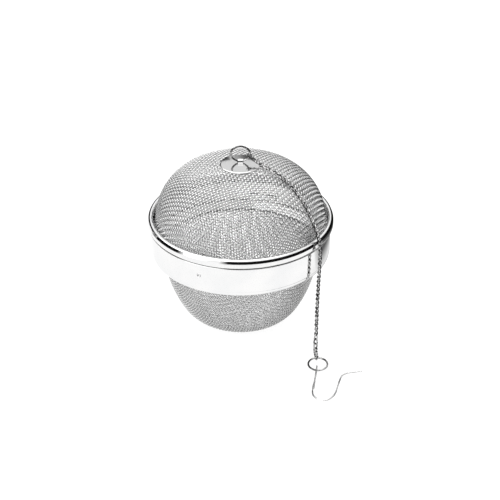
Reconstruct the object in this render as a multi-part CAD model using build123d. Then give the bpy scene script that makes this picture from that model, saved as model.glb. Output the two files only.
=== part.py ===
from build123d import *
from math import acos, asin, ceil, cos, degrees, hypot, radians, sin, sqrt, tan
import os

# A two-part mesh infuser: a deep woven cup and a domed woven lid, joined by a bayonet
# rim, with a chain and a hanging hook. Millimetres, +Z up. The origin is the centre of
# the cup's flat bottom, and the hook side of the chain lies towards -Y.

os.makedirs("parts", exist_ok=True)

# ---- driving sizes ----
RIM_R = 45.0            # outside radius of the lid's rolled bead
CROWN_Z = 56.3          # top of the rolled bead above the standing surface
SHEET = 0.4             # strip steel used for the rims and the disc
CLOTH = 0.8             # woven cloth, two wires thick
SEAT = 0.02             # gap left between pieces that are pressed or welded together
RUN = 0.06              # radial gap between surfaces that turn against each other

# rolled bead and skirt of the lid
BEAD_W = 2.7            # width of the bead, seen from above
BEAD_H = 4.7            # height of the bead
SKIRT_BOTTOM = 15.0     # bottom of the skirt below the bead's top
BEAD_CURL = 70.0        # how far the bead's outer edge rolls under, degrees
SHOULDER_LEAN = 20.5    # lean of the flat shoulder outside the bead's crown, degrees
SHOULDER = 0.8          # width of that shoulder
SHOULDER_BEND = 1.0     # bend from the bead's side into the shoulder

# band of the bowl
BAND_R = RIM_R - 1.35   # outside radius of the band
BAND_BOTTOM = 20.3      # bottom of the band below the bead's top
LIP_GAP = 0.05          # gap between the band's lip and the lid's bead
LIP_R = RIM_R - 0.5     # outside radius of the band's lip
LIP_BEND = 0.8          # cove under the lip
HEM_H = 2.4             # height of the stepped-in hem at the bottom of the band
HEM_STEP = 0.25         # how far the hem steps in
FOOT_BEND = 1.5         # rounding where the band turns in to its flange

# bayonet
STUD_R = 1.0
STUD_DROP = 11.0        # stud centres below the bead's top
STUD_TIP_R = RIM_R - BEAD_W - 0.3   # the studs' inner ends, just inside the skirt
STUD_ANGLE = 63.5       # one stud; the other is opposite
TWIST = 18.0            # turn from free to locked, degrees
SLOT_GAP = 0.25         # slack around a stud in its slot

# cup
FOOT_R = 0.3067 * RIM_R     # radius of the flat bottom
CORNER_R = 0.409 * RIM_R    # rounded corner above the flat
CORNER_TURN = 60.0
WALL_R = 1.444 * RIM_R      # long curve of the cup's wall
EDGE_R = 0.6            # bend of the cloth onto the band's flange

# dome
DOME_BASE_R = RIM_R - 3.7   # outside radius of the dome where it leaves the rim
DOME_SIDE_R = 0.622 * RIM_R # curve of the dome's side
DOME_SIDE_TURN = 76.0
DOME_BASE_DROP = 2.54   # where that curve starts, below the bead's top
FLARE_R = 1.5           # double bend that carries the cloth out to the skirt
CLAMP_DROP = 8.6        # bottom of the lid's cloth and clamp ring below the bead's top

# disc, strap and rings
DISC_CURVE = 60.0
DISC_TURN = 8.6         # angle of the disc's shallow curve, degrees
DISC_EDGE_R = 0.6
DISC_EDGE_TURN = 45.0
STRAP_W = 2.4
STRAP_IN = 0.62         # inside radius of the strap's top bend
TONGUE_BASE = 8.4
TONGUE_LENGTH = 5.4
SLIT = 0.35
RING_R = 4.55           # to the middle of the ring's wire
RING_WIRE = 0.45
TOP_RING_LEAN = 14.0
END_RING_LEAN = 5.0

# chain
WIRE = 0.3
LINK_L = 3.7
LINK_SLACK = 0.05
LINK_W = 2 * RING_WIRE + 4 * WIRE + 2 * LINK_SLACK   # the rings' wire passes through a link
CHAIN_OFF = 1.2         # middle of the chain above the dome
CREST_LIFT = 2.52       # route above the dome where it comes down from the top ring

# hook
HOOK_WIRE = 0.42


# ---- helpers ----
def strip(start, heading, moves, thick):
    """Face of a bent strip. The moves follow its right-hand side; it thickens to the left."""
    x, y = start
    h = heading
    right, left = [], []
    for move in moves:
        c, s = cos(radians(h)), sin(radians(h))
        lx, ly = x - thick * s, y + thick * c
        if move[0] == "go":
            nx, ny = x + move[1] * c, y + move[1] * s
            right.append(Line((x, y), (nx, ny)))
            left.append(Line((lx, ly), (lx + nx - x, ly + ny - y)))
            x, y = nx, ny
            continue
        turn = 1 if move[0] == "left" else -1
        r, a = move[1], move[2]
        cx, cy = x - turn * r * s, y + turn * r * c
        side = degrees_from(cx, cy, x, y)
        right.append(CenterArc((cx, cy), r, side, turn * a))
        left.append(CenterArc((cx, cy), r - turn * thick, side, turn * a))
        h += turn * a
        x, y = cx + turn * r * sin(radians(h)), cy - turn * r * cos(radians(h))
    first = Line(left[0] @ 0, right[0] @ 0)
    last = Line(right[-1] @ 1, left[-1] @ 1)
    return make_face(Curve() + right + [last] + left + [first])


def degrees_from(cx, cy, x, y):
    """Direction from a centre to a point, in degrees."""
    a = degrees(acos(max(-1.0, min(1.0, (x - cx) / hypot(x - cx, y - cy)))))
    return a if y >= cy else -a


def spun(face):
    """Solid of revolution about +Z of a face drawn as (radius, height)."""
    return revolve(Plane.XZ * face, Axis.Z, 360)


def sector(r0, r1, z0, z1, a0, a1):
    """Part of a ring between two radii, two heights and two directions in degrees."""
    face = make_face(Polyline((r0, z0), (r1, z0), (r1, z1), (r0, z1), close=True))
    return revolve(Rotation(0, 0, a0) * (Plane.XZ * face), Axis.Z, a1 - a0)


def around(r, a, z):
    """Point at a radius, a direction in degrees and a height."""
    return Vector(r * cos(radians(a)), r * sin(radians(a)), z)


def rounded(points):
    """Straight runs joined by tangent arcs: a list of (length, position, direction)."""
    pieces, radii = [], []
    here = points[0]
    for a, b, c in zip(points[:-2], points[1:-1], points[2:]):
        d0, d1 = (b - a).normalized(), (c - b).normalized()
        half = radians(d0.get_angle(d1)) / 2
        cut = 0.45 * min((b - a).length, (c - b).length)
        r = cut / tan(half)
        radii.append(r)
        begin = b - d0 * cut
        inward = (d1 - d0).normalized()
        centre = b + inward * (r / cos(half))
        pieces.append(straight(here, begin))
        pieces.append(bend(begin, centre, d0, r, 2 * half))
        here = b + d1 * cut
    pieces.append(straight(here, points[-1]))
    return pieces, radii


def straight(p, q):
    d = (q - p).normalized()
    return (q - p).length, lambda s: (p + d * s, d)


def bend(p, centre, d0, r, turn):
    out = (p - centre).normalized()

    def place(s):
        a = s / r
        return centre + (out * cos(a) + d0 * sin(a)) * r, d0 * cos(a) - out * sin(a)

    return r * turn, place


def along(pieces, s):
    """Position and direction at a distance along a route."""
    for length, place in pieces[:-1]:
        if s <= length:
            return place(s)
        s -= length
    return pieces[-1][1](s)


def edges_of(pieces):
    """The route as edges, for a wire that is swept along it."""
    edges = []
    for length, place in pieces:
        p, q, m = place(0)[0], place(length)[0], place(length / 2)[0]
        if (m - (p + q) * 0.5).length < 1e-6:
            edges.append(Edge.make_line(p, q))
        else:
            edges.append(Edge.make_three_point_arc(p, m, q))
    return edges


def save(shape, name):
    export_step(shape, "parts/" + name + ".step")
    solids = shape.solids()
    print(name, len(solids), "solids", round(sum(s.volume for s in solids), 1), "mm3")


# ---- bowl: cup, band, clamp ring, studs ----
flange_z = CROWN_Z - BAND_BOTTOM
wall_in_r = BAND_R - SHEET

# The cup's cloth rises from the flat bottom, then turns out over the band's flange.
seat_z = flange_z + SHEET + SEAT
corner_z = CORNER_R * (1 - cos(radians(CORNER_TURN)))
corner_r = FOOT_R + CORNER_R * sin(radians(CORNER_TURN))
wall_cos = (corner_z + WALL_R * cos(radians(CORNER_TURN)) + EDGE_R - seat_z) / (WALL_R + EDGE_R)
wall_end = degrees(acos(wall_cos))
cup_r = corner_r + WALL_R * (sin(radians(wall_end)) - sin(radians(CORNER_TURN)))
edge_end_r = cup_r + EDGE_R * sin(radians(wall_end))
cloth_edge_r = BAND_R - HEM_STEP - FOOT_BEND
bowl_mesh = spun(strip((0, 0), 0, [
    ("go", FOOT_R),
    ("left", CORNER_R, CORNER_TURN),
    ("left", WALL_R, wall_end - CORNER_TURN),
    ("right", EDGE_R, wall_end),
    ("go", cloth_edge_r - edge_end_r),
], CLOTH))
save(bowl_mesh, "bowl_mesh")

# The band: flange, rounded foot, hem, plain wall, and a lip turned out under the bead.
step_r = SHEET + 0.05
step_turn = degrees(acos(1 - HEM_STEP / (2 * step_r)))
step_h = 2 * step_r * sin(radians(step_turn))
lip_z = CROWN_Z - BEAD_H - LIP_GAP
hem_r = BAND_R - HEM_STEP
hem_wall = HEM_H - FOOT_BEND - step_h / 2
flange_in_r = edge_end_r + 0.35
wall_h = lip_z - SHEET - LIP_BEND - (flange_z + FOOT_BEND + hem_wall + step_h)
bowl_band = spun(strip((flange_in_r, flange_z), 0, [
    ("go", hem_r - FOOT_BEND - flange_in_r),
    ("left", FOOT_BEND, 90),
    ("go", hem_wall),
    ("right", step_r, step_turn),
    ("left", step_r, step_turn),
    ("go", wall_h),
    ("right", LIP_BEND, 90),
    ("go", LIP_R - BAND_R - LIP_BEND),
], SHEET))

# Clamp ring: presses the cup's edge onto the flange, and is welded inside the band.
clamp_in_r = edge_end_r + 0.3
clamp_bend = SHEET + 0.1
clamp_h = 3.0
clamp_out_r = hem_r - SHEET - SEAT
bowl_clamp_ring = spun(strip((clamp_in_r, seat_z + CLOTH + SEAT), 0, [
    ("go", clamp_out_r - clamp_bend - clamp_in_r),
    ("left", clamp_bend, 90),
    ("go", clamp_h - clamp_bend),
], SHEET))
save(bowl_clamp_ring, "bowl_clamp_ring")

# Studs: short pins through the band, one at each side.
stud_z = CROWN_Z - STUD_DROP
stud_profile = make_face(Curve() + [
    Line((STUD_TIP_R, 0), (STUD_TIP_R, STUD_R - 0.3)),
    Line((STUD_TIP_R, STUD_R - 0.3), (STUD_TIP_R + 0.3, STUD_R)),
    Line((STUD_TIP_R + 0.3, STUD_R), (BAND_R - 0.25, STUD_R)),
    Line((BAND_R - 0.25, STUD_R), (BAND_R - 0.1, STUD_R - 0.15)),
    Line((BAND_R - 0.1, STUD_R - 0.15), (BAND_R - 0.1, 0)),
    Line((BAND_R - 0.1, 0), (STUD_TIP_R, 0)),
])
stud = Pos(0, 0, stud_z) * revolve(stud_profile, Axis.X, 360)
stud_hole = Pos(BAND_R, 0, stud_z) * Rot(0, 90, 0) * Cylinder(STUD_R + SEAT, 4)
studs = []
for angle in (STUD_ANGLE, STUD_ANGLE + 180):
    studs.append(Rot(0, 0, angle) * stud)
    bowl_band -= Rot(0, 0, angle) * stud_hole
save(bowl_band, "bowl_band")
save(Compound(children=studs), "bayonet_studs")

# ---- lid: bead and skirt, dome, clamp ring ----
bead_r = BEAD_W / 2
skirt_in_r = RIM_R - BEAD_W
curl_x = RIM_R - bead_r + bead_r * cos(radians(BEAD_CURL))
curl_z = CROWN_Z - BEAD_H + bead_r * (1 - sin(radians(BEAD_CURL)))
lean_s, lean_c = sin(radians(SHOULDER_LEAN)), cos(radians(SHOULDER_LEAN))
crown_bend = (BEAD_W - SHOULDER_BEND * (1 - lean_c) - SHOULDER * lean_s) / (1 + lean_c)
shoulder_h = SHOULDER_BEND * lean_s + SHOULDER * lean_c + crown_bend * (1 - lean_s)
lid_rim = spun(strip((curl_x, curl_z), 90 - BEAD_CURL, [
    ("left", bead_r, BEAD_CURL),
    ("go", BEAD_H - bead_r - shoulder_h),
    ("left", SHOULDER_BEND, SHOULDER_LEAN),
    ("go", SHOULDER),
    ("left", crown_bend, 180 - SHOULDER_LEAN),
    ("go", SKIRT_BOTTOM - crown_bend),
], SHEET))

# Each slot is an open-ended entry at the skirt's edge, then an arm that the stud turns into.
slot_top = stud_z + STUD_R + SLOT_GAP
slot_low = stud_z - STUD_R - SLOT_GAP
slack = degrees((STUD_R + SLOT_GAP) / skirt_in_r)
for angle in (STUD_ANGLE, STUD_ANGLE + 180):
    r0, r1 = skirt_in_r - 0.5, skirt_in_r + SHEET + 0.5
    lid_rim -= sector(r0, r1, CROWN_Z - SKIRT_BOTTOM - 1, slot_top, angle - slack, angle + slack)
    lid_rim -= sector(r0, r1, slot_low, slot_top, angle - slack, angle + slack + TWIST)
save(lid_rim, "lid_rim")

# The dome's cloth: clamped inside the skirt, a double bend inwards, the side, the crown.
cloth_out_r = skirt_in_r - SEAT
flare_turn = degrees(acos(1 - (cloth_out_r - DOME_BASE_R) / (2 * FLARE_R)))
flare_h = 2 * FLARE_R * sin(radians(flare_turn))
side_cx = DOME_BASE_R - DOME_SIDE_R
side_end_r = side_cx + DOME_SIDE_R * cos(radians(DOME_SIDE_TURN))
side_end_z = CROWN_Z - DOME_BASE_DROP + DOME_SIDE_R * sin(radians(DOME_SIDE_TURN))
crown_r = side_end_r / cos(radians(DOME_SIDE_TURN))
crown_cz = side_end_z - crown_r * sin(radians(DOME_SIDE_TURN))
apex_z = crown_cz + crown_r
lid_mesh = spun(strip((cloth_out_r, CROWN_Z - CLAMP_DROP), 90, [
    ("go", CLAMP_DROP - DOME_BASE_DROP - flare_h),
    ("left", FLARE_R, flare_turn),
    ("right", FLARE_R, flare_turn),
    ("left", DOME_SIDE_R, DOME_SIDE_TURN),
    ("left", crown_r, 90 - DOME_SIDE_TURN),
], CLOTH))
save(lid_mesh, "lid_mesh")

lid_clamp_h = CLAMP_DROP - DOME_BASE_DROP - flare_h
lid_clamp_ring = spun(strip((cloth_out_r - CLOTH - RUN, CROWN_Z - CLAMP_DROP), 90, [
    ("go", lid_clamp_h),
], SHEET))
save(lid_clamp_ring, "lid_clamp_ring")

# ---- disc on the crown, with its backing disc and its strap ----
edge_r = DISC_CURVE * sin(radians(DISC_TURN))
edge_drop = DISC_CURVE * (1 - cos(radians(DISC_TURN)))
down = radians(DISC_TURN + DISC_EDGE_TURN)
disc_low_r = edge_r + DISC_EDGE_R * (sin(down) - sin(radians(DISC_TURN)))
disc_low_drop = edge_drop + DISC_EDGE_R * (cos(radians(DISC_TURN)) - cos(down))
disc_under = crown_cz + sqrt((crown_r + SEAT) ** 2 - disc_low_r ** 2) + disc_low_drop
top_disc = spun(strip((0, disc_under), 0, [
    ("right", DISC_CURVE, DISC_TURN),
    ("right", DISC_EDGE_R, DISC_EDGE_TURN),
], SHEET))

# A tongue is cut on three sides; its tip rises and is folded back over the ring.
root_y = -STRAP_IN - 0.5
strap_z = disc_under + SHEET + 0.12 + RING_WIRE
half_base, half_tip = TONGUE_BASE / 2, STRAP_W / 2
tip_y, base_y = root_y, root_y - TONGUE_LENGTH
cutter_h = 4
cuts = []
for side in (1, -1):
    cuts.append(Polyline(
        (side * half_base, base_y), (side * (half_base + SLIT), base_y + SLIT * 0.6),
        (side * (half_tip + SLIT), tip_y + SLIT), (side * half_tip, tip_y), close=True))
window = Polyline(
    (-half_tip - SLIT, tip_y - 0.02), (half_tip + SLIT, tip_y - 0.02),
    (half_tip + SLIT, 2.6), (-half_tip - SLIT, 2.6), close=True)
for outline in cuts + [window]:
    top_disc -= extrude(Plane.XY.offset(disc_under - 2) * make_face(outline), cutter_h)
strap = strip((root_y - 0.8, disc_under), 0, [
    ("go", 0.8),
    ("left", 0.5, 90),
    ("go", strap_z + 0.1 - disc_under - 0.5),
    ("right", STRAP_IN, 180),
    ("go", 0.6),
], SHEET)
strap_solid = extrude(Plane.YZ * strap, STRAP_W / 2, both=True)
top_disc = top_disc + strap_solid
save(top_disc, "top_disc")

backing_r = 8.0
backing_turn = degrees(asin(backing_r / (crown_r - CLOTH)))
backing_top = crown_r - CLOTH - SEAT
backing_disc = spun(strip((0, crown_cz + backing_top - SHEET), 0, [
    ("right", backing_top - SHEET, backing_turn),
], SHEET))
save(backing_disc, "backing_disc")

# ---- rings ----
lean = radians(TOP_RING_LEAN)
ring_up = Vector(0, -sin(lean), cos(lean))
strap_point = Vector(0, 0, strap_z)
ring_mid = strap_point + ring_up * RING_R
ring_solid = Torus(RING_R, RING_WIRE) - Pos(-RING_R, 0, 0) * Box(2, 0.12, 2)
top_plane = Plane(origin=ring_mid, x_dir=Vector(1, 0, 0), z_dir=Vector(1, 0, 0).cross(ring_up))
save(top_plane.location * ring_solid, "top_ring")

# The chain hangs just outside the rim, and what lies on the surface follows it.
HANG = -38.0            # direction of the hanging run, degrees
hang_shift = around(RIM_R - 45.0, HANG, 0)
end_mid = Vector(36.4, -49.2, 0) + hang_shift
end_lean = radians(END_RING_LEAN)
hook_z = HOOK_WIRE + 0.02
near_z = hook_z + HOOK_WIRE + RING_WIRE + 0.06
end_up = Vector(0, cos(end_lean), sin(end_lean))
end_mid += Vector(0, 0, near_z + RING_R * sin(end_lean))
end_plane = Plane(origin=end_mid, x_dir=Vector(1, 0, 0), z_dir=Vector(1, 0, 0).cross(end_up))
save(end_plane.location * ring_solid, "end_ring")

# ---- chain ----
# The route leaves the ring's right side, lies over the dome, passes over the bead, drops
# to the standing surface and runs forward to the end ring.
ring_side = radians(-16)
chain_start = ring_mid + Vector(1, 0, 0) * (RING_R * cos(ring_side)) + ring_up * (RING_R * sin(ring_side))
far_side = radians(94)
chain_end = end_mid + Vector(1, 0, 0) * (RING_R * cos(far_side)) + end_up * (RING_R * sin(far_side))
side_cz = CROWN_Z - DOME_BASE_DROP
off_r = DOME_SIDE_R + CHAIN_OFF


def dome_z(r):
    """Height of the dome's outside at a radius on its crown."""
    return crown_cz + sqrt(crown_r ** 2 - r ** 2)


def side_vertex(a, b):
    """Where the tangents at two elevations of the dome's offset side curve meet."""
    mid, half = radians((a + b) / 2), radians(abs(a - b) / 2)
    return side_cx + off_r / cos(half) * cos(mid), side_cz + off_r / cos(half) * sin(mid)


bead_off = 2.75
bead_mid = radians(15.5)
bead_cx, bead_cz = RIM_R - bead_r, CROWN_Z - bead_r
bead_px, bead_pz = bead_cx + bead_off * cos(bead_mid), bead_cz + bead_off * sin(bead_mid)
over = (bead_px - 1.75 * sin(bead_mid), bead_pz + 1.75 * cos(bead_mid))
under = (bead_px + 1.75 * sin(bead_mid), bead_pz - 1.75 * cos(bead_mid))
shoulder = side_vertex(48, 30)
before = (over[0] + 0.42 * (shoulder[0] - over[0]) + 0.25, over[1] + 0.42 * (shoulder[1] - over[1]))
crest_r, slope_r = 0.1844 * RIM_R, 0.4356 * RIM_R
floor_z = LINK_W / 2 + 0.15
route_points = [
    chain_start,
    around(crest_r, -18, dome_z(crest_r) + CREST_LIFT),
    around(slope_r, -29, dome_z(slope_r) + 1.5 * CHAIN_OFF),
    around(side_vertex(66, 48)[0], -32.5, side_vertex(66, 48)[1]),
    around(shoulder[0], -34, shoulder[1]),
    around(before[0], -35.5, before[1]),
    around(over[0], -36.8, over[1]),
    around(under[0], -37.1, under[1]),
    around(under[0] + 0.15, -37.3, under[1] - 6.5),
    around(under[0] + 0.1, -38.2, under[1] - 19.5),
    around(under[0] + 0.1, -38.9, under[1] - 33.0),
    around(under[0] + 0.1, -39.1, 6.6),
    Vector(36.0, -33.4, 2.2) + hang_shift,
    Vector(35.8, -38.2, floor_z) + hang_shift,
    chain_end,
]
route, bend_radii = rounded(route_points)
route_length = sum(piece[0] for piece in route)
print("chain route", round(route_length, 1), "mm; bend radii", [round(r, 1) for r in bend_radii])

# One link: an oval of round wire. Neighbours pass through each other a quarter turn apart.
link_r = LINK_W / 2 - WIRE
flat = LINK_L / 2 - LINK_W / 2
link_path = Wire([
    Edge.make_line((-flat, -link_r, 0), (flat, -link_r, 0)),
    Edge.make_three_point_arc((flat, -link_r, 0), (flat + link_r, 0, 0), (flat, link_r, 0)),
    Edge.make_line((flat, link_r, 0), (-flat, link_r, 0)),
    Edge.make_three_point_arc((-flat, link_r, 0), (-flat - link_r, 0, 0), (-flat, -link_r, 0)),
])
link = sweep(Plane(origin=(0, -link_r, 0), z_dir=(1, 0, 0)) * Circle(WIRE), path=link_path)

# The first and last links each hold a ring's wire in the end of their loop.
ring_reach = LINK_L / 2 - 2 * WIRE - RING_WIRE - LINK_SLACK / 2
pitch_max = LINK_L - 4 * WIRE - LINK_SLACK
count = ceil((route_length - 2 * ring_reach) / pitch_max) + 1
pitch = (route_length - 2 * ring_reach) / (count - 1)
print("links", count, "pitch", round(pitch, 3), "mm")

groups = {"chain_crown_links": [], "chain_shoulder_links": [], "chain_rim_links": [],
          "chain_hanging_links": [], "chain_floor_links": []}
LEAD = 7                # links over which the chain turns from flat to its resting quarter
rim_s = None
for i in range(count):
    s = ring_reach + i * pitch
    at, way = along(route, s)
    # reference side of the chain: away from the dome, then away from the bowl, then up
    if i == 0:
        ref = ring_up
    elif at.Z > CROWN_Z:
        ref = Vector(at.X, at.Y, (at.Z - crown_cz if hypot(at.X, at.Y) < side_end_r else at.Z - side_cz + 10))
    elif at.Z > 3.5:
        ref = Vector(at.X, at.Y, 0)
    else:
        ref = Vector(0, 0, 1)
    lateral = way.cross(ref).normalized()
    ref = lateral.cross(way).normalized()
    # The first link lies flat on the ring's wire; the last stands upright in the end ring.
    ease = min(1.0, i / LEAD, (count - 1 - i) / LEAD)
    if i > count / 2:
        roll = 90 + 90 * (count - 1 - i) + (45 if count % 2 == 0 else -45) * ease
    else:
        roll = 90 * i + 45 * ease
    roll = radians(roll)
    normal = ref * cos(roll) + lateral * sin(roll)
    placed = Plane(origin=at, x_dir=way, z_dir=normal).location * link
    r = hypot(at.X, at.Y)
    if at.Z > CROWN_Z + 3 and r < 24:
        groups["chain_crown_links"].append(placed)
    elif at.Z > CROWN_Z + 0.2:
        groups["chain_shoulder_links"].append(placed)
        rim_s = s
    elif at.Z > CROWN_Z - 16:
        groups["chain_rim_links"].append(placed)
    elif at.Z > 6.0:
        groups["chain_hanging_links"].append(placed)
    else:
        groups["chain_floor_links"].append(placed)
for name, links in groups.items():
    save(Compound(children=links), name)
joint_at, joint_way = along(route, rim_s + pitch / 2)
print("chain start", chain_start, "rim joint", joint_at, "at", round(rim_s + pitch / 2, 1), "mm")
print("end ring far side", chain_end, "ring middle", end_mid)

# ---- hook ----
# One wire: a short tail, the eye folded over the end ring, the shank, a deep bend and a
# free arm that sweeps out sideways. It lies on the standing surface.
eye_gap = 2 * RING_WIRE + 2 * HOOK_WIRE + 0.12
hook_points = [
    Vector(33.55, -68.4, hook_z + 2 * HOOK_WIRE + 0.1),
    Vector(34.9, -57.5, hook_z + 2 * HOOK_WIRE + 0.25),
    Vector(35.45, -54.6, hook_z + eye_gap),
    Vector(35.85, -50.9, hook_z + eye_gap),
    Vector(35.85, -50.9, hook_z),
    Vector(35.0, -57.5, hook_z),
    Vector(32.6, -69.2, hook_z),
    Vector(33.6, -74.3, hook_z),
    Vector(38.6, -77.0, hook_z),
    Vector(43.2, -72.6, hook_z),
    Vector(45.6, -62.0, hook_z),
    Vector(48.2, -54.0, hook_z),
    Vector(57.0, -53.4, hook_z),
]
hook_points = [point + hang_shift for point in hook_points]
hook_route, hook_radii = rounded(hook_points)
hook_wire = Wire(edges_of(hook_route))
first_way = (hook_points[1] - hook_points[0]).normalized()
hook_start = Plane(origin=hook_points[0], z_dir=first_way)
hook = sweep(hook_start * Circle(HOOK_WIRE), path=hook_wire, transition=Transition.RIGHT)
tip = Pos(*tuple(hook_points[-1])) * Sphere(HOOK_WIRE * 1.25)
hook = hook + tip
print("hook bend radii", [round(r, 2) for r in hook_radii])
save(hook, "hook")
print("heights: flange", flange_z, "lip", round(lip_z, 2), "apex", round(apex_z, 2), "strap", round(strap_z, 2))
print("radii: cup", round(cup_r, 2), "flange hole", round(flange_in_r, 2), "crown", round(crown_r, 2))
print("ring middle", ring_mid, "strap point", strap_point)
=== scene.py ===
# %% [markdown]
# # A woven wire tea infuser
# The infuser is a deep wire cup and a domed wire lid, each pressed from one round of woven
# cloth and held in a rim of polished sheet. A curb chain runs from a ring on the lid to a
# hook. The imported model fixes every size, so it is loaded first, and each piece made here
# stands exactly where its plain CAD twin stands.

from math import acos, asin, ceil, cos, degrees, radians, sin, sqrt

import bmesh
import bpy
import numpy as np
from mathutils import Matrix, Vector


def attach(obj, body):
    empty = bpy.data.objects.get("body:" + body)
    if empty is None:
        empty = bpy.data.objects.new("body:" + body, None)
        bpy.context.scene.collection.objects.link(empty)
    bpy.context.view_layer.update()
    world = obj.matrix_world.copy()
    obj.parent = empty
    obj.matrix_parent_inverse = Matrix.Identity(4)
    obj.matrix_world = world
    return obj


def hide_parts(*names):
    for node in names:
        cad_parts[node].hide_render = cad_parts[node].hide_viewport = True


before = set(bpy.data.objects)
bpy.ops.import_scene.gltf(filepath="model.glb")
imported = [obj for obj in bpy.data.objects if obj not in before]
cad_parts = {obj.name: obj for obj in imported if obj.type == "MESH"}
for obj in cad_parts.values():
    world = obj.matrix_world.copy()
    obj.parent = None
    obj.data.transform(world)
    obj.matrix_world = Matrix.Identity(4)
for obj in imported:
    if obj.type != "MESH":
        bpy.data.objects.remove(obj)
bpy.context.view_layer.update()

# %% [markdown]
# ## The camera
# It looks at the middle of the rolled bead from 0.7 m away and 29 degrees up, through a
# long lens, so the rims are clear ellipses with hardly any perspective. A camera can be aimed
# with a constraint, but a direction turned into a rotation stays put when views change.

# %% Camera
VIEW_UP = radians(29.25)
VIEW_AWAY = 0.7
BEAD_TOP = 0.0563
FOCAL = 1445.0                  # focal length where the image is 500 wide
AIM_RIGHT, AIM_DOWN = 9.3, 36.7 # how far the bead's middle stands off the image's middle
forward = np.array([0, cos(VIEW_UP), -sin(VIEW_UP)])
upward = np.array([0, sin(VIEW_UP), cos(VIEW_UP)])
rightward = np.array([1.0, 0, 0])
eye = np.array([0, 0, BEAD_TOP]) - forward * VIEW_AWAY
aim = forward + AIM_RIGHT / FOCAL * rightward - AIM_DOWN / FOCAL * upward

camera = bpy.data.objects.new("camera", bpy.data.cameras.new("camera"))
camera.data.lens = FOCAL / 500 * camera.data.sensor_width
camera.data.clip_start = 0.01
camera.rotation_mode = "QUATERNION"
camera.location = eye
camera.rotation_quaternion = Vector(aim).to_track_quat("-Z", "Y")
bpy.context.scene.collection.objects.link(camera)
bpy.context.scene.camera = camera
print("camera at", [round(float(v), 4) for v in eye], "lens", round(camera.data.lens, 1), "mm")

# %% [markdown]
# ## From arrays to a piece
# Every new surface below is a table of points worked out with numpy, in millimetres, and a
# table of four-cornered faces. One helper turns both into a mesh in metres. It measures the
# enclosed volume first, because a negative volume means that the faces point inwards.

# %% Mesh helper
MM = 0.001


def enclosed(points, faces):
    """Sum over the triangles of a dot (b cross c), divided by six: the signed volume."""
    a, b, c, d = (points[faces[:, k]] for k in range(4))
    return float((a * np.cross(b, c)).sum() + (a * np.cross(c, d)).sum()) / 6


def make_piece(name, points, faces, crease=40):
    """A mesh object from points in millimetres and quads, with edges over crease degrees sharp."""
    points, faces = points.reshape(-1, 3), faces.reshape(-1, 4)
    if enclosed(points, faces) < 0:
        faces = faces[:, ::-1]
    mesh = bpy.data.meshes.new(name)
    mesh.vertices.add(len(points))
    mesh.vertices.foreach_set("co", (points * MM).astype(np.float32).ravel())
    mesh.loops.add(faces.size)
    mesh.loops.foreach_set("vertex_index", faces.astype(np.int32).ravel())
    mesh.polygons.add(len(faces))
    mesh.polygons.foreach_set("loop_start", np.arange(0, faces.size, 4, dtype=np.int32))
    mesh.update(calc_edges=True)
    mesh.polygons.foreach_set("use_smooth", np.ones(len(faces), bool))
    if crease:
        mesh.set_sharp_from_angle(angle=radians(crease))
    piece = bpy.data.objects.new(name, mesh)
    bpy.context.scene.collection.objects.link(piece)
    return piece


def close_poles(piece):
    """Joins points at one place, so that a ring of no radius is a pole, and caps gaps."""
    work = bmesh.new()
    work.from_mesh(piece.data)
    bmesh.ops.remove_doubles(work, verts=work.verts, dist=2e-7)
    bmesh.ops.holes_fill(work, edges=[e for e in work.edges if e.is_boundary], sides=0)
    bmesh.ops.recalc_face_normals(work, faces=work.faces)
    work.to_mesh(piece.data)
    work.free()
    return piece


def grid_faces(rows, columns, close_rows, close_columns):
    """Quads between neighbours of a grid of points, joined round where a direction closes."""
    i = np.arange(rows if close_rows else rows - 1)[:, None]
    j = np.arange(columns if close_columns else columns - 1)[None, :]
    i2, j2 = (i + 1) % rows, (j + 1) % columns
    return np.stack([i * columns + j, i * columns + j2, i2 * columns + j2, i2 * columns + j], -1)


# %% [markdown]
# ## Shader arithmetic
# Finishes vary over a surface, and that variation is arithmetic on node values. Long chains of
# nodes are hard to read, so a small class wraps an output socket and lets Python's own
# operators add the Math nodes. Another class holds the material and adds any other node.

# %% Finish helper
BUMP_SHARE = 0.35


class Value:
    """An output socket that can be added, subtracted, multiplied and divided."""

    def __init__(self, finish, socket):
        self.finish, self.socket = finish, socket

    def math(self, operation, other, flip=False):
        first, second = (other, self) if flip else (self, other)
        return self.finish.add("ShaderNodeMath", {"operation": operation}, {0: first, 1: second})

    def __add__(self, other):
        return self.math("ADD", other)

    def __sub__(self, other):
        return self.math("SUBTRACT", other)

    def __rsub__(self, other):
        return self.math("SUBTRACT", other, flip=True)

    def __mul__(self, other):
        return self.math("MULTIPLY", other)

    def __pow__(self, other):
        return self.math("POWER", other)

    __radd__, __rmul__ = __add__, __mul__


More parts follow.
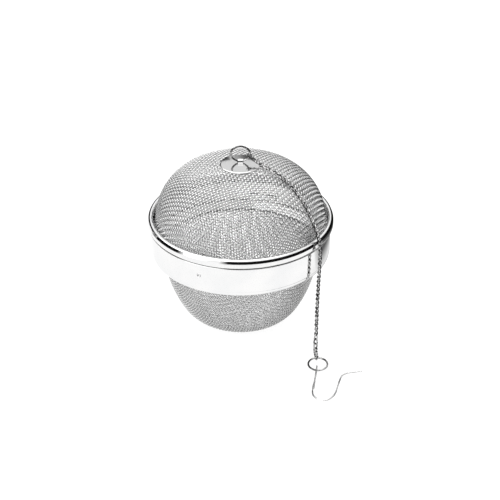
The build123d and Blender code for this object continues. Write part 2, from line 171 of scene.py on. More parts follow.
class Finish:
    """A material with its Principled shader, and a way to add nodes to it."""

    def __init__(self, name, **constants):
        self.material = bpy.data.materials.new(name)
        self.material.use_nodes = True
        self.nodes = self.material.node_tree.nodes
        self.links = self.material.node_tree.links
        self.shader = self.nodes["Principled BSDF"]
        for socket, value in constants.items():
            self.shader.inputs[socket.replace("_", " ")].default_value = value

    def feed(self, socket, value):
        if isinstance(value, Value):
            self.links.new(value.socket, socket)
        else:
            socket.default_value = value

    def add(self, kind, settings=None, sockets=None, out=0):
        """Adds a node: its settings first, then its sockets' values or links."""
        node = self.nodes.new(kind)
        for key, value in (settings or {}).items():
            setattr(node, key, value)
        for key, value in (sockets or {}).items():
            self.feed(node.inputs[key], value)
        return Value(self, node.outputs[out])

    def place(self, stretch=(1, 1, 1)):
        """Object coordinates, stretched along each axis."""
        where = self.add("ShaderNodeTexCoord", out="Object")
        return self.add("ShaderNodeMapping", {}, {"Vector": where, "Scale": stretch})

    def noise(self, where, size, detail=3.0):
        """Soft noise between 0 and 1 whose patches are about size metres across."""
        return self.add("ShaderNodeTexNoise", {},
                        {"Vector": where, "Scale": 1 / size, "Detail": detail}, "Fac")

    def ramp(self, value, low, high):
        """Carries value from where it leaves low to where it reaches high, as 0 to 1."""
        return self.add("ShaderNodeMapRange", {"interpolation_type": "SMOOTHSTEP"},
                        {"Value": value, "From Min": low, "From Max": high}, "Result")

    def blend(self, share, first, second):
        """A colour part of the way from first to second."""
        return self.add("ShaderNodeMix", {"data_type": "RGBA"}, {0: share, 6: first, 7: second}, 2)

    def finish(self, colour, roughness, height, depth):
        """Feeds colour, roughness and a bump of relief depth metres; gives the material."""
        self.feed(self.shader.inputs["Base Color"], colour)
        self.feed(self.shader.inputs["Roughness"], roughness)
        relief = {"Height": height, "Distance": depth, "Strength": BUMP_SHARE}
        self.feed(self.shader.inputs["Normal"], self.add("ShaderNodeBump", {}, relief, "Normal"))
        return self.material


# %% [markdown]
# ## Steel finishes
# All of it is stainless steel, but each part was finished in its own way. The rims were
# spun and buffed, which leaves faint lines round them and a few fine scratches; the discs are
# only satin. The cloth's wire came off a die; its colour carries painted light, bright where
# wires cross and painted shade on the flanks and between crossings. Chain, ring and hook wire
# was tumbled, so its roughness is uneven, and its colour carries painted reflections: random
# dark and light patches. Images of steel could do for all of these, but noise at each
# finish's own scale stays sharp close to and needs no file.

# %% Steel finishes
def grey(value, tint=0.0):
    """A steel grey, a little warm for a positive tint and a little cool for a negative one."""
    return (value * (1 + tint), value, value * (1 - tint), 1)


def buffed_sheet(name, shades, low):
    """Buffed sheet: lines round the axis from noise on height and radius, with a few scratches."""
    skin = Finish(name, Metallic=1.0)
    where = skin.add("ShaderNodeTexCoord", out="Object")
    split = {"Vector": where}
    x, y, z = (skin.add("ShaderNodeSeparateXYZ", {}, split, k) for k in "XYZ")
    radius = (x * x + y * y) ** 0.5
    spun_at = skin.add("ShaderNodeCombineXYZ", {}, {"X": radius, "Y": radius * 0.15, "Z": z})
    lines = skin.noise(spun_at, 0.00022, 4)
    cloud = skin.noise(where, 0.014, 3)
    scratch = skin.ramp(skin.noise(skin.place((1.0, 1.0, 14.0)), 0.0045, 5), 0.66, 0.70)
    share = skin.ramp(cloud, 0.3, 0.7)
    shade = skin.blend(share, grey(shades[0], -0.004), grey(shades[1], 0.004))
    rough = low + cloud * 0.035 + lines * 0.035 + scratch * 0.10
    return skin.finish(shade, rough, lines + scratch * 0.6, 0.000002)


def drawn_wire():
    """Cloth wire with painted light: painted highlight where wires cross, painted shade on the
    flanks and between crossings; glossier where painted bright.
    """
    skin = Finish("drawn_cloth_wire", Metallic=1.0)
    where = skin.place()
    painted_light_share = skin.add("ShaderNodeAttribute", {"attribute_name": "painted_light_share"}, out="Fac")
    cloud = skin.noise(where, 0.006, 3)
    grain = skin.noise(where, 0.00035, 2)
    # Painted light: the colour runs from a dark grey on the wires' flanks and between crossings to
    # near white at the crossings.
    share = skin.ramp(painted_light_share + cloud * 0.2, 0.2, 0.8)
    shade = skin.blend(share, grey(0.58, -0.006), grey(0.99, 0.004))
    return skin.finish(shade, 0.22 - painted_light_share * 0.08 + grain * 0.06, grain, 0.000004)


def painted_reflection_wire(name, size, dark, light, low, high):
    """Wire polished in a drum, with roughness from low to high; its colour carries painted
    reflections, random patches of size metres from dark to light.
    """
    skin = Finish(name, Metallic=1.0)
    where = skin.place()
    patch = skin.noise(where, size, 3)
    dents = skin.noise(where, 0.0004, 2)
    # Painted reflections: the noise patches paint the colour from the dark shade to the light one.
    shade = skin.blend(skin.ramp(patch, 0.40, 0.60), grey(dark, -0.006), grey(light, 0.004))
    return skin.finish(shade, low + patch * (high - low), dents, 0.000006)


SHEET_STEEL = buffed_sheet("buffed_sheet", (0.90, 0.95), 0.035)
DISC_STEEL = buffed_sheet("satin_disc", (0.66, 0.71), 0.09)
CLOTH_STEEL = drawn_wire()
# The dark shades, near black on chain and rings, are painted dark reflections; the light ones are
# painted glints.
CHAIN_STEEL = painted_reflection_wire("chain_wire_painted_reflections", 0.0014, 0.02, 0.66, 0.04, 0.16)
ROUND_STEEL = painted_reflection_wire("round_wire_painted_reflections", 0.0035, 0.08, 0.62, 0.04, 0.14)
HOOK_STEEL = painted_reflection_wire("hook_wire_painted_reflections", 0.0060, 0.42, 0.88, 0.05, 0.16)
steels = (SHEET_STEEL, DISC_STEEL, CLOTH_STEEL, CHAIN_STEEL, ROUND_STEEL, HOOK_STEEL)
print("finishes:", [steel.name for steel in steels])


def settle(piece, steel, body, slot, *nodes):
    """Gives a piece its steel and body and hides the CAD nodes it stands for; slot is not used."""
    piece.data.materials.append(steel)
    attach(piece, body)
    if nodes:
        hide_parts(*nodes)
    print(piece.name, "on", body, len(piece.data.polygons), "faces")
    return piece


# %% [markdown]
# ## The chain's line
# The chain leaves the ring on the lid, lies over the dome, drops past the rims to the table
# and ends in the ring that holds the hook. Its line is one smooth NURBS spline whose control
# points are the route's own, and the links read their places from that spline. A simulated
# chain would settle nicely too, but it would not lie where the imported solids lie.

# %% Chain line
ROUTE = [
    (0.004374, -0.000797, 0.087954), (0.007892, -0.002564, 0.085486),
    (0.017144, -0.009503, 0.082834), (0.024804, -0.015802, 0.078540),
    (0.030078, -0.020288, 0.072360), (0.034250, -0.024430, 0.063670),
    (0.036697, -0.027453, 0.057370), (0.037303, -0.028212, 0.054000),
    (0.037324, -0.028432, 0.047500), (0.036833, -0.028985, 0.034500),
    (0.036476, -0.029433, 0.021000), (0.036373, -0.029560, 0.006600),
    (0.036000, -0.033400, 0.002200), (0.035800, -0.038200, 0.001250),
    (0.036083, -0.044678, 0.002162),
]


def spline_points(name, points):
    """Points read from the smooth NURBS line that a few control points pull along."""
    curve = bpy.data.curves.new(name, "CURVE")
    curve.dimensions = "3D"
    spline = curve.splines.new("NURBS")
    spline.points.add(len(points) - 1)
    spline.points.foreach_set("co", np.c_[np.array(points), np.ones(len(points))].ravel())
    spline.order_u = 3
    spline.use_endpoint_u = True
    spline.resolution_u = 24
    holder = bpy.data.objects.new(name, curve)
    line = bpy.data.meshes.new_from_object(holder)
    found = np.zeros(len(line.vertices) * 3, np.float32)
    line.vertices.foreach_get("co", found)
    bpy.data.objects.remove(holder)
    bpy.data.meshes.remove(line)
    return found.reshape(-1, 3).astype(float)


def walked(line):
    """Distance along a line of points at each of them."""
    return np.r_[0, np.cumsum(np.linalg.norm(np.diff(line, axis=0), axis=1))]


def read_line(line, at):
    """Positions and unit directions at distances along a line of points."""
    far = walked(line)
    where = np.stack([np.interp(at, far, line[:, k]) for k in range(3)], -1)
    slope = np.gradient(line, far, axis=0)
    way = np.stack([np.interp(at, far, slope[:, k]) for k in range(3)], -1)
    return where, way / np.linalg.norm(way, axis=-1, keepdims=True)


chain_line = spline_points("chain_line", ROUTE)
chain_length = walked(chain_line)[-1]
print("chain line", round(chain_length * 1000, 1), "mm")

# %% [markdown]
# ## Curb links
# Each link is an oval of round wire that was twisted a quarter turn, so the chain lies flat
# and every link still passes squarely through the next. One formula gives all the links at
# once: an oval, twisted in proportion to the distance from its middle, set at its own place
# on the line. The first and last links are rolled so that they sit square on the rings' wire.

# %% Curb links
LINK_HALF = 1.55                # from a link's middle to the wire's middle at its end, mm
LINK_ROUND = 0.76               # radius of its round ends
CHAIN_WIRE = 0.34
LINK_TWIST = radians(45)        # each way from a link's middle
LINKS = 51
LEAD_LINKS = 7                  # links over which the chain turns square to a ring
RIM_LINK_Z = 56.5               # the chain bends over the bead here
FIRST_REACH = 0.475             # from the ring's wire to the first link's middle
RING_LEAN = 14.0                # the lid's ring leans this far forward, in degrees
CROWN_FROM, CROWN_OVER = 56, 26 # above this height links lie on the dome, over this rise
FLOOR_FROM, FLOOR_OVER = 6.0, 4 # below this height they lie on the table
UP = np.array([0, 0, 1.0])


def oval(count):
    """Stadium: two straight sides and two half circles, at equal steps, as x, y and headings."""
    side = 2 * (LINK_HALF - LINK_ROUND)
    total = 2 * side + 2 * np.pi * LINK_ROUND
    s = np.arange(count) / count * total
    bend = np.pi * LINK_ROUND
    turn = (np.clip(s - side, 0, bend) + np.clip(s - 2 * side - bend, 0, bend)) / LINK_ROUND
    x = -side / 2 + np.clip(s, 0, side) - np.clip(s - side - bend, 0, side)
    x = x + LINK_ROUND * np.sin(turn)
    y = -LINK_ROUND * np.cos(turn)
    return x, y, turn


def twisted_links(where, way, up, roll, around=26, sides=8):
    """Wire rings on the oval, turned about the link's length by roll plus twist times x."""
    x, y, turn = oval(around)
    a = np.arange(sides) / sides * 2 * np.pi
    across = CHAIN_WIRE * np.cos(a)
    px = x[:, None] + np.sin(turn)[:, None] * across
    py = y[:, None] - np.cos(turn)[:, None] * across
    pz = np.broadcast_to(CHAIN_WIRE * np.sin(a), px.shape)
    angle = roll[:, None, None] + LINK_TWIST * np.clip(px / LINK_HALF, -1, 1)
    y2 = py * np.cos(angle) - pz * np.sin(angle)
    z2 = py * np.sin(angle) + pz * np.cos(angle)
    side = np.cross(up, way)
    spots = (where[:, None, None] + px[None, ..., None] * way[:, None, None]
             + y2[..., None] * side[:, None, None] + z2[..., None] * up[:, None, None])
    one = grid_faces(around, sides, True, True).reshape(-1, 4)
    faces = one[None] + (np.arange(len(where)) * around * sides)[:, None, None]
    return spots, faces


reach = FIRST_REACH * MM
at = np.linspace(reach, chain_length - reach, LINKS)
where, way = read_line(chain_line, at)
where = where * 1000
ring_up = np.array([0, -sin(radians(RING_LEAN)), cos(radians(RING_LEAN))])
outward = where * [1, 1, 0] / np.linalg.norm(where[:, :2], axis=1, keepdims=True)
lift = np.clip((where[:, 2:] - CROWN_FROM) / CROWN_OVER, 0, 1)
rise = outward * (1 - lift) + UP * lift
lying = np.clip((FLOOR_FROM - where[:, 2:]) / FLOOR_OVER, 0, 1)
rise = rise * (1 - lying) + UP * lying
start_share = np.clip(1 - np.arange(LINKS) / LEAD_LINKS, 0, 1)
end_share = start_share[::-1]
rise = rise * (1 - start_share[:, None]) + ring_up * start_share[:, None]
rise = rise - (rise * way).sum(1, keepdims=True) * way
rise = rise / np.linalg.norm(rise, axis=1, keepdims=True)
roll = LINK_TWIST * (start_share + end_share)
upper = where[:, 2] > RIM_LINK_Z
rim_share = float(at[upper][-1] + at[~upper][0]) / 2
print(LINKS, "links,", int(upper.sum()), "over the lid; pitch",
      round(float(at[1] - at[0]) * 1000, 3), "mm")


def chain_run(name, keep, begin, end):
    """The links of one run, and the part of the spline that they follow."""
    spots, faces = twisted_links(where[keep], way[keep], rise[keep], roll[keep])
    piece = make_piece(name, spots, faces, crease=0)
    far = walked(chain_line)
    inside = (far > begin) & (far < end)
    ends, _ = read_line(chain_line, np.array([begin, end]))
    return piece, np.vstack([ends[:1], chain_line[inside], ends[1:]])


chain_over, over_path = chain_run("chain_over_lid", upper, 0.0, rim_share)
chain_down, down_path = chain_run("chain_hanging", ~upper, rim_share, chain_length)
settle(chain_over, CHAIN_STEEL, "chain_upper", "chain_wire",
       "chain_crown_links", "chain_shoulder_links")
settle(chain_down, CHAIN_STEEL, "chain_drop", "chain_wire",
       "chain_rim_links", "chain_hanging_links", "chain_floor_links")

# %% [markdown]
# ## Wire along a path
# Rings and hook are single pieces of round wire. A tube needs two directions across its path
# at each point. They come from the path's direction and one fixed direction that the path
# never follows, so the whole tube is one array. Ends close in a small chamfer to a pole.

# %% Wire tube
CHAMFER = 0.15                  # of the wire's radius, at a cut end


def wire_tube(name, path, radius, aside, sides=14):
    """Circle of radius (one or one per point) on cross(way, aside), carried along the path."""
    slope = np.gradient(path, axis=0)
    slope = slope / np.linalg.norm(slope, axis=1, keepdims=True)
    one = np.cross(slope, aside)
    one = one / np.linalg.norm(one, axis=1, keepdims=True)
    two = np.cross(slope, one)
    size = np.broadcast_to(np.asarray(radius, float), len(path))
    last = len(path) - 1
    own = np.r_[0, 0, np.arange(len(path)), last, last]
    past = CHAMFER * np.r_[-size[0], -size[0], np.zeros(len(path)), size[-1], size[-1]]
    size = np.r_[0, size[0] * (1 - CHAMFER), size, size[-1] * (1 - CHAMFER), 0]
    path, one, two = path[own] + past[:, None] * slope[own], one[own], two[own]
    a = np.arange(sides) / sides * 2 * np.pi
    ring = np.cos(a)[:, None] * one[:, None] + np.sin(a)[:, None] * two[:, None]
    points = path[:, None] + size[:, None, None] * ring
    return close_poles(make_piece(name, points, grid_faces(len(path), sides, False, True), 35))


# %% [markdown]
# ## The two rings
# The lid's ring stands in the strap and leans forward; the other lies on the table and
# joins the chain to the hook. Both were wound from wire and cut, which leaves a hairline gap.

# %% Rings
RING_R, RING_WIRE, RING_CUT = 4.55, 0.45, 0.12
CROWN_RING_AT, END_RING_AT = (0, -1.101, 89.171), (36.4, -49.2, 1.767)
END_LEAN = radians(5)           # the end ring's far side rests on the hook


def cut_ring(name, middle, second, steps=96):
    """Circle in the plane of x and second, from one side of the cut round to the other."""
    gap = (RING_CUT / 2 + CHAMFER * RING_WIRE) / RING_R
    t = np.linspace(np.pi + gap, 3 * np.pi - gap, steps)[:, None]
    path = np.array(middle) + RING_R * (np.cos(t) * [1, 0, 0] + np.sin(t) * np.array(second))
    return wire_tube(name, path, RING_WIRE, np.cross([1, 0, 0], second), sides=16)


crown_ring = cut_ring("crown_ring", CROWN_RING_AT, ring_up)
settle(crown_ring, ROUND_STEEL, "top_ring", "round_wire", "top_ring")
end_ring = cut_ring("chain_end_ring", END_RING_AT, (0, cos(END_LEAN), sin(END_LEAN)))
settle(end_ring, ROUND_STEEL, "end_ring", "round_wire", "end_ring")

# %% [markdown]
# ## The hook
# One wire makes the hook: a short tail, a tight fold over the ring, a shank, the deep bend
# that hangs on a cup, and an arm that sweeps out to a small ball. A smooth spline through
# the bends keeps its turns as soft as bent wire, and a radius that grows at the tip adds the
# ball.

# %% Hook
HOOK_WIRE, HOOK_BALL = 0.40, 0.525
BALL_FROM, BALL_STEPS, BODY_STEPS = 1.1, 16, 190
ASIDE = np.array([1, 0, 1]) / sqrt(2)      # a direction that the hook's wire never takes
HOOK_BENDS = [
    (33.55, -68.4, 1.38), (34.9, -57.5, 1.53), (35.45, -54.6, 2.37), (35.85, -50.9, 2.37),
    (35.85, -50.9, 0.44), (35.0, -57.5, 0.44), (32.6, -69.2, 0.44), (33.6, -74.3, 0.44),
    (38.6, -77.0, 0.44), (43.2, -72.6, 0.44), (45.6, -62.0, 0.44), (48.2, -54.0, 0.44),
    (57.0, -53.4, 0.44),
]
hook_line = spline_points("hook_line", HOOK_BENDS)
hook_far = walked(hook_line)
hook_end = hook_far[-1]
hook_at = np.r_[np.linspace(0, hook_end - BALL_FROM - 0.1, BODY_STEPS),
                hook_end - np.linspace(BALL_FROM, 0, BALL_STEPS)]
hook_path, _ = read_line(hook_line, hook_at)
ball_off = np.abs(hook_at - (hook_end - HOOK_BALL))
ball = np.sqrt(np.clip(HOOK_BALL ** 2 - ball_off ** 2, 0, None))
hook_size = np.where(hook_at > hook_end - HOOK_BALL, ball, np.maximum(HOOK_WIRE, ball))
hook = wire_tube("hanging_hook", hook_path, hook_size, ASIDE)
settle(hook, HOOK_STEEL, "hook", "round_wire", "hook")
print("hook wire", round(float(hook_end), 1), "mm long")

# %% [markdown]
# ## The chain's two runs
# The upper run goes from the lid's ring to the bead; the lower one leaves it there and
# carries the end ring and the hook. The length of each run is printed.

print("runs", [round(float(walked(p)[-1]) * 1000, 1) for p in (over_path, down_path)], "mm")

# %% [markdown]
# ## Bent sheet, spun round
# Rims, discs and clamp rings are all strips of sheet, bent in section and spun round the
# axis. The section is walked like a path on paper: go straight, turn left or right on a
# radius. Both faces of the sheet come from that walk, and round the axis the section becomes
# a surface. Curves get many small steps, because polished metal shows every flat facet.

# %% Bent section
SHEET = 0.4


def walk(start, heading, moves, step=4.0, run=1.2):
    """Points and headings along straight runs and arcs; each starts where the last one ends."""
    spots, turns = [np.array([start], float)], [np.array([radians(heading)])]
    for kind, size, *turn in moves:
        here, h = spots[-1][-1], turns[-1][-1]
        if kind == "go":
            t = np.linspace(0, size, max(2, ceil(size / run) + 1))[1:, None]
            spots.append(here + t * [cos(h), sin(h)])
            turns.append(np.full(len(t), h))
        else:
            sign = 1 if kind == "left" else -1
            t = np.linspace(0, radians(turn[0]), max(3, ceil(turn[0] / step) + 1))[1:]
            centre = here + size * sign * np.array([-sin(h), cos(h)])
            now = h + sign * t
            spots.append(centre + size * sign * np.c_[np.sin(now), -np.cos(now)])
            turns.append(now)
    return np.vstack(spots), np.concatenate(turns)


def sheet_section(start, heading, moves, thick=SHEET):
    """Closed outline of a strip: the walked side, a rounded edge, the other side, an edge."""
    near, turn = walk(start, heading, moves)
    left = np.c_[-np.sin(turn), np.cos(turn)]
    middle = near + left * thick / 2
    a = np.radians([-60, -30, 0, 30, 60])[:, None]
    soft, half = thick * 0.35, thick / 2 / sin(radians(75))

    def edge(k, side):
        """A flat arc from one face of the strip to the other, at its first or last point."""
        ahead = side * np.array([cos(turn[k]), sin(turn[k])])
        return middle[k] + soft * (np.cos(a) - 1) * ahead + half * side * np.sin(a) * left[k]

    return np.vstack([near, edge(-1, 1), (near + left * thick)[::-1], edge(0, -1)])


def spun(name, section, segments=288, crease=50, pole=False):
    """The section turned round the z axis: radius times cos and sin of the angle, and height."""
    angle = np.arange(segments) / segments * 2 * np.pi
    r, z = section[:, :1], section[:, 1:]
    points = np.stack([r * np.cos(angle), r * np.sin(angle), z + 0 * angle], -1)
    piece = make_piece(name, points, grid_faces(len(section), segments, True, True), crease)
    return close_poles(piece) if pole else piece


# %% [markdown]
# ## Holes in a rim
# The skirt has two slots that the studs turn into, and the band has a hole for each stud.
# A Boolean cut from plain cutters is the natural tool, since the real ones are punched. The
# cut is applied at once, and the cutter is thrown away.

# %% Punching
def sector_block(r0, r1, z0, z1, a0, a1, steps=12):
    """A block between two radii, two heights and two directions in degrees."""
    angle = np.radians(np.linspace(a0, a1, steps))
    corner = np.array([(r0, z0), (r1, z0), (r1, z1), (r0, z1)])
    points = np.stack([corner[:, :1] * np.cos(angle), corner[:, :1] * np.sin(angle),
                       corner[:, 1:] + 0 * angle], -1).transpose(1, 0, 2)
    ends = np.array([[0, 1, 2, 3], np.array([3, 2, 1, 0]) + 4 * (steps - 1)])
    sides = grid_faces(steps, 4, False, True).reshape(-1, 4)[:, ::-1]
    return make_piece("cutter", points, np.vstack([sides, ends]))


def pin_block(radius, r0, r1, z, angle, sides=32):
    """A round pin that points away from the axis, from radius r0 to r1."""
    t = np.arange(sides) / sides * 2 * np.pi
    c, s = cos(radians(angle)), sin(radians(angle))
    across = np.stack([-s * np.cos(t) * radius, c * np.cos(t) * radius, np.sin(t) * radius], -1)
    rings = [(0 * across, r0), (across, r0), (across, r1), (0 * across, r1)]
    points = np.stack([ring + [c * r, s * r, z] for ring, r in rings])
    return close_poles(make_piece("cutter", points, grid_faces(4, sides, False, True)))


def punch(piece, cutters, crease=50):
    """Cuts the cutters out of a piece and keeps only the result."""
    for cutter in cutters:
        tool = piece.modifiers.new("punch", "BOOLEAN")
        tool.operation, tool.solver, tool.object = "DIFFERENCE", "EXACT", cutter
    bpy.context.view_layer.update()
    done = piece.evaluated_get(bpy.context.evaluated_depsgraph_get())
    mesh = bpy.data.meshes.new_from_object(done)
    piece.modifiers.clear()
    piece.data = mesh
    mesh.set_sharp_from_angle(angle=radians(crease))
    for cutter in cutters:
        bpy.data.objects.remove(cutter)
    return piece


# %% [markdown]
# ## The lid's rim
# One strip makes the rolled bead and the skirt inside it. The bead is what catches the dark
# line that runs along the front, on the flat shoulder outside its crown. Two slots are punched
# up from the skirt's edge, each with an arm that locks a stud after an 18 degree turn.

# %% Lid rim
RIM_R, CROWN_Z = 45.0, 56.3
BEAD_R, BEAD_H, BEAD_CURL = 1.35, 4.7, 70.0
SKIRT_DROP = 15.0
STUD_ANGLES = (63.5, 243.5)
STUD_Z, STUD_R = 45.3, 1.0
SLOT_HALF, LOCK_TURN = STUD_R + 0.25, 18
curl = radians(BEAD_CURL)
bead_start = (RIM_R - BEAD_R + BEAD_R * cos(curl), CROWN_Z - BEAD_H + BEAD_R * (1 - sin(curl)))
LEAN, SHOULDER, SHOULDER_BEND = 20.5, 0.8, 1.0
lean_s, lean_c = sin(radians(LEAN)), cos(radians(LEAN))
crown_bend = (2 * BEAD_R - SHOULDER_BEND * (1 - lean_c) - SHOULDER * lean_s) / (1 + lean_c)
shoulder_h = SHOULDER_BEND * lean_s + SHOULDER * lean_c + crown_bend * (1 - lean_s)
lid_rim = spun("lid_bead_and_skirt", sheet_section(bead_start, 90 - BEAD_CURL, [
    ("left", BEAD_R, BEAD_CURL), ("go", BEAD_H - BEAD_R - shoulder_h),
    ("left", SHOULDER_BEND, LEAN), ("go", SHOULDER), ("left", crown_bend, 180 - LEAN),
    ("go", SKIRT_DROP - crown_bend)]), segments=360)
slack = degrees(SLOT_HALF / 42.3)
skirt_edge = CROWN_Z - SKIRT_DROP
slots = []
for a in STUD_ANGLES:
    slots.append(sector_block(41.6, 43.1, skirt_edge - 1, STUD_Z + SLOT_HALF,
                              a - slack, a + slack))
    slots.append(sector_block(41.7, 43.0, STUD_Z - SLOT_HALF, STUD_Z + SLOT_HALF - 0.01,
                              a, a + slack + LOCK_TURN))
settle(punch(lid_rim, slots), SHEET_STEEL, "lid", "polished_sheet", "lid_rim")

# %% [markdown]
# ## The cup's band
# The band carries the cup: a flange under the cloth, a rounded foot, a hem that steps in, a
# plain wall and a lip that meets the bead. The hem's step is only a quarter of a millimetre,
# but on a mirror it draws a line right round. Stud holes are punched through the wall.

# %% Cup band
BAND_R, LIP_R = RIM_R - 1.35, RIM_R - 0.5
FLANGE_Z, FLANGE_IN = 36.0, 39.13
HEM_STEP, HEM_H, FOOT_BEND, LIP_BEND = 0.25, 2.4, 1.5, 0.8
STEP_R = SHEET + 0.05
step_turn = degrees(acos(1 - HEM_STEP / (2 * STEP_R)))
step_h = 2 * STEP_R * sin(radians(step_turn))
lip_z = CROWN_Z - BEAD_H - 0.05
hem_r = BAND_R - HEM_STEP
hem_wall = HEM_H - FOOT_BEND - step_h / 2
wall_h = lip_z - SHEET - LIP_BEND - (FLANGE_Z + FOOT_BEND + hem_wall + step_h)
cup_band = spun("cup_band", sheet_section((FLANGE_IN, FLANGE_Z), 0, [
    ("go", hem_r - FOOT_BEND - FLANGE_IN), ("left", FOOT_BEND, 90), ("go", hem_wall),
    ("right", STEP_R, step_turn), ("left", STEP_R, step_turn), ("go", wall_h),
    ("right", LIP_BEND, 90), ("go", LIP_R - BAND_R - LIP_BEND)]), segments=360)
STUD_GAP = 0.06
holes = [pin_block(STUD_R + STUD_GAP, 41, 46, STUD_Z, a) for a in STUD_ANGLES]
settle(punch(cup_band, holes), SHEET_STEEL, "bowl", "polished_sheet", "bowl_band")

# %% [markdown]
# ## Studs and clamp rings
# The studs are short pins with chamfered, dimpled ends, pressed through the band. The clamp rings
# hold the cloth's edges: one presses the cup's cloth on its flange, the other stands inside
# the lid's skirt.

# %% Studs and clamps
def stud_set(name, sides=28):
    """Each stud: circles along a line away from the axis; their radius draws a dimpled pin."""
    outline = np.array([(42.0, 0), (42.0, 0.7), (42.3, 1.0), (43.4, 1.0), (43.55, 0.85),
                        (43.55, 0.75), (43.15, 0.12), (43.1, 0)])
    t = np.arange(sides) / sides * 2 * np.pi
    sets = []
    for a in np.radians(STUD_ANGLES):
        out, side = np.array([cos(a), sin(a), 0]), np.array([-sin(a), cos(a), 0])
        ring = np.cos(t)[:, None] * side + np.sin(t)[:, None] * [0, 0, 1]
        sets.append(outline[:, :1, None] * out + outline[:, 1:, None] * ring + [0, 0, STUD_Z])
    one = grid_faces(len(outline), sides, False, True).reshape(-1, 4)
    faces = np.vstack([one, one + len(outline) * sides])
    return close_poles(make_piece(name, np.array(sets), faces, crease=30))


settle(stud_set("bayonet_pins"), SHEET_STEEL, "bowl", "polished_sheet", "bayonet_studs")
cup_clamp = spun("cup_clamp_ring", sheet_section((39.08, 37.26), 0, [
    ("go", 3.40), ("left", 0.5, 90), ("go", 2.5)]))
settle(cup_clamp, SHEET_STEEL, "bowl", "polished_sheet", "bowl_clamp_ring")
lid_clamp = spun("lid_clamp_ring_visible", sheet_section((41.42, 47.7), 90, [("go", 3.84)]))
settle(lid_clamp, SHEET_STEEL, "lid_carrier", "polished_sheet", "lid_clamp_ring")

# %% [markdown]
# ## Woven cloth
# The mesh is a plain weave: every wire passes over one crossing wire and under the next. It
# could be an image or an alpha pattern on a smooth shell, but then nothing would show through
# the gaps, and the edges would look like paper. Here each wire is a real tube. Its middle
# line waves by one wire radius either side of the pressed surface.
#
# A flat round of cloth can't be pressed into a dome without its mesh squares leaning over
# into diamonds. A point of the flat cloth moves out along the section by its distance from the
# middle, a little more on the diagonals, and its direction shifts so that wires keep their
# distance near the two axes. That is what bends the rows of the weave into arcs.

# %% Cloth surface
PITCH, CLOTH_WIRE = 1.4, 0.2
FULL = 1.15                     # a four-sided tube is drawn this much wider than its wire
SIDES, STEPS = 4, 4             # corners round a wire, and steps from one crossing to the next
# Painted light: how much of the crossings' painted brightness a wire's flanks get.
FLANK_PAINTED_LIGHT = 0.3                 # how bright a wire's flanks are, where its crests are 1
LEAN_RADIUS = 50.0              # the extra length on the diagonals is given for this distance


class Pressed:
    """A surface of revolution read by the distance from its middle, along its section."""

    def __init__(self, start, moves, heading=0):
        spots, turn = walk(start, heading, moves, step=1.0, run=0.5)
        keep = np.r_[True, np.linalg.norm(np.diff(spots, axis=0), axis=1) > 1e-9]
        self.spots, self.turn = spots[keep], turn[keep]
        self.far = walked(self.spots)

    def at(self, far, angle):
        """Point and normal at a distance along the section and an angle round the axis."""
        r, z = (np.interp(far, self.far, self.spots[:, k]) for k in (0, 1))
        h = np.interp(far, self.far, self.turn)
        c, s = np.cos(angle), np.sin(angle)
        normal = np.stack([-np.sin(h) * c, -np.sin(h) * s, np.cos(h)], -1)
        return np.stack([r * c, r * s, z], -1), normal


def drape(shape, u, v, spread, lean, turned):
    """Distance and direction where a point of the flat cloth lands, as the text above says."""
    flat, angle = np.hypot(u, v), np.arctan2(v, u)
    bias = (1 - np.cos(4 * angle)) / 2
    far = flat * (1 + spread * (flat / LEAN_RADIUS) ** 2 * bias)
    r = np.maximum(np.interp(far, shape.far, shape.spots[:, 0]), 1e-6)
    squeeze = np.where(far > 1e-6, np.maximum(far, 1e-6) / r, 1) - 1
    return far, angle + lean * squeeze / 4 * np.sin(4 * angle) + turned


def woven(name, shape, edge, warp, spread, lean, turned):
    """All wires of one direction: a square table of wires and steps, cut at the cloth's edge."""
    half = ceil(edge / PITCH) + 1
    number = np.arange(-half, half + 1)
    step = np.arange(-half * STEPS, half * STEPS + 1) * PITCH / STEPS
    fixed, moving = np.meshgrid((number + 0.5) * PITCH, step, indexing="ij")
    u, v = (fixed, moving) if warp else (moving, fixed)
    far, angle = drape(shape, u, v, spread, lean, turned)
    points, normal = shape.at(far, angle)
    wave = np.cos(np.pi * (moving / PITCH - 0.5 + number[:, None])) * (1 if warp else -1)
    points = points + normal * (CLOTH_WIRE * wave)[..., None]
    slope = np.gradient(points, axis=1)
    slope /= np.linalg.norm(slope, axis=-1, keepdims=True)
    side = np.cross(slope, normal)
    side /= np.linalg.norm(side, axis=-1, keepdims=True)
    up = np.cross(side, slope)
    a = np.arange(SIDES) / SIDES * 2 * np.pi
    ring = np.cos(a)[:, None] * up[..., None, :] + np.sin(a)[:, None] * side[..., None, :]
    tube = points[..., None, :] + FULL * CLOTH_WIRE * ring
    faces = wire_faces(far <= edge)
    used, faces = np.unique(faces, return_inverse=True)
    piece = make_piece(name, tube.reshape(-1, 3)[used], faces.reshape(-1, 4), crease=0)
    # Painted light and shade: the share is highest where the wire passes over or under a crossing
    # wire, on its faces toward and away from the cloth, and lowest on its flanks and midway
    # between crossings.
    crest = np.abs(wave)[..., None] * (FLANK_PAINTED_LIGHT + (1 - FLANK_PAINTED_LIGHT) * np.abs(np.cos(a)))
    painted_light_share = piece.data.attributes.new("painted_light_share", "FLOAT", "POINT")
    painted_light_share.data.foreach_set("value", crest.reshape(-1)[used].astype(np.float32))
    return piece


